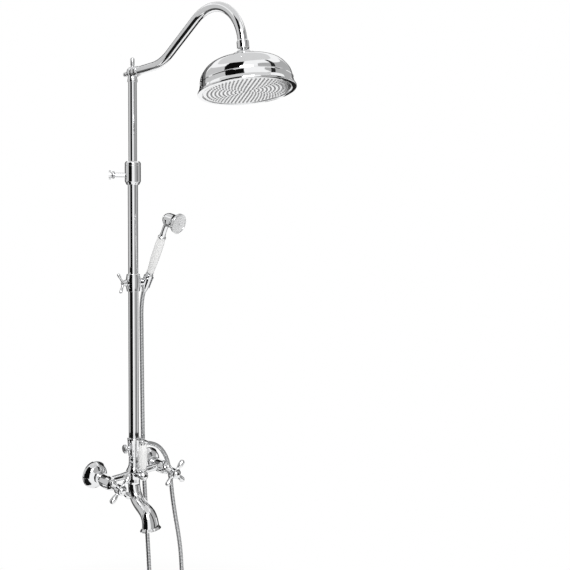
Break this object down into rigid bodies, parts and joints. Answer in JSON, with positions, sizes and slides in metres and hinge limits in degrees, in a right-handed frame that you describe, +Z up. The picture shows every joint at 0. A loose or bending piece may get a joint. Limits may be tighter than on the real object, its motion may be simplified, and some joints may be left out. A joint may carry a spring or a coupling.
{
  "type": "shower column",
  "caption": "Wall-mounted chrome rainfall shower column with cross-handle valves, a spout, a telescopic riser, a tilting rain head and a hand shower on a sliding holder.",
  "frame": {"origin": "On the wall, midway between the two inlets at the height of their axes", "axes": "X along the wall to the right as seen from the front, +Y into the wall, Z up"},
  "size_m": [0.2531, 0.5599, 1.3964],
  "materials": {
    "chrome": "polished chrome plate on brass",
    "porcelain": "glazed white",
    "brass": "turned",
    "steel": "perforated, satin",
    "rubber": "moulded",
    "nylon": "moulded"
  },
  "bodies": {
    "mixer": {"left_inlet_union": "chrome", "right_inlet_union": "chrome", "left_wall_flange": "chrome", "right_wall_flange": "chrome", "left_union_nut": "chrome", "right_union_nut": "chrome", "mixer_body": "chrome", "left_bonnet": "chrome", "right_bonnet": "chrome", "lever_bonnet": "chrome", "spout": "chrome", "spout_aerator": "nylon", "riser_neck": "chrome", "diverter_sleeve": "chrome", "outlet_nut": "chrome", "lower_tube": "chrome", "hose_feed": "chrome", "hose_riser": "chrome"},
    "left_valve": {"left_valve_stem": "brass", "left_cross_handle": "chrome", "left_handle_cap": "chrome"},
    "right_valve": {"right_valve_stem": "brass", "right_cross_handle": "chrome", "right_handle_cap": "chrome"},
    "selector": {"lever_stem": "brass", "lever_hub": "chrome", "lever_grip": "porcelain", "lever_tip": "chrome"},
    "diverter": {"diverter_spool": "brass", "diverter_knob": "chrome"},
    "wall_stay": {"column_collar": "chrome", "collar_nut": "chrome", "collar_gland": "rubber", "stay_rod": "chrome", "stay_foot": "chrome"},
    "riser": {"upper_tube": "chrome", "tube_seal": "rubber", "arm_knuckle": "chrome", "top_finial": "chrome", "rear_finial": "chrome", "arm_ferrule": "chrome", "shower_arm": "chrome", "ball_connector": "chrome"},
    "swivel": {"swivel_seat": "nylon"},
    "head": {"head_cap": "chrome", "head_shell": "chrome", "head_faceplate": "steel"},
    "slider": {"slider_body": "chrome", "slider_bush": "nylon"},
    "clamp": {"clamp_screw": "chrome", "clamp_knob": "chrome"},
    "holder": {"holder_cup": "chrome", "holder_pivot": "chrome"},
    "handset": {"handset_tail": "chrome", "handset_grip": "porcelain", "handset_ferrule": "chrome", "handset_head": "chrome", "handset_side_cap": "chrome", "handset_faceplate": "steel", "tail_nut": "chrome"}
  },
  "joints": [
    {"name": "left_valve_turn", "type": "hinge", "parent": "mixer", "child": "left_valve", "pos_m": [-0.075, -0.118, 0], "axis": [0, -1, 0], "range_deg": [0, 90]},
    {"name": "right_valve_turn", "type": "hinge", "parent": "mixer", "child": "right_valve", "pos_m": [0.075, -0.118, 0], "axis": [0, -1, 0], "range_deg": [-90, 0]},
    {"name": "selector_turn", "type": "hinge", "parent": "mixer", "child": "selector", "pos_m": [0, -0.093, 0.006], "axis": [0, -1, 0], "range_deg": [0, 60]},
    {"name": "diverter_pull", "type": "slide", "parent": "mixer", "child": "diverter", "axis": [-1, 0, 0], "range_m": [0, 0.008]},
    {"name": "stay_swivel", "type": "hinge", "parent": "mixer", "child": "wall_stay", "pos_m": [0, -0.055, 0.703], "axis": [0, 0, 1], "range_deg": [-58.5, 31.5]},
    {"name": "riser_slide", "type": "slide", "parent": "mixer", "child": "riser", "axis": [0, 0, 1], "range_m": [-0.17, 0.3]},
    {"name": "head_tilt", "type": "hinge", "parent": "riser", "child": "swivel", "pos_m": [0, -0.44034, 0.91346], "axis": [1, 0, 0], "range_deg": [-12, 12]},
    {"name": "head_sway", "type": "hinge", "parent": "swivel", "child": "head", "pos_m": [0, -0.44034, 0.91346], "axis": [0, -0.9914, 0.1305], "range_deg": [-12, 12]},
    {"name": "slider_slide", "type": "slide", "parent": "mixer", "child": "slider", "axis": [0, 0, 1], "range_m": [-0.25, 0.185], "deforming": ["hose_riser"]},
    {"name": "clamp_turn", "type": "hinge", "parent": "slider", "child": "clamp", "pos_m": [-0.03, -0.055, 0.452], "axis": [-1, 0, 0], "range_deg": [0, 270]},
    {"name": "holder_tilt", "type": "hinge", "parent": "slider", "child": "holder", "pos_m": [0.03, -0.055, 0.452], "axis": [1, 0, 0], "range_deg": [-20, 35], "deforming": ["hose_riser"]},
    {"name": "handset_twist", "type": "hinge", "parent": "holder", "child": "handset", "pos_m": [0.036, -0.059, 0.452], "axis": [0, -0.5, 0.866], "range_deg": [-60, 60]}
  ]
}
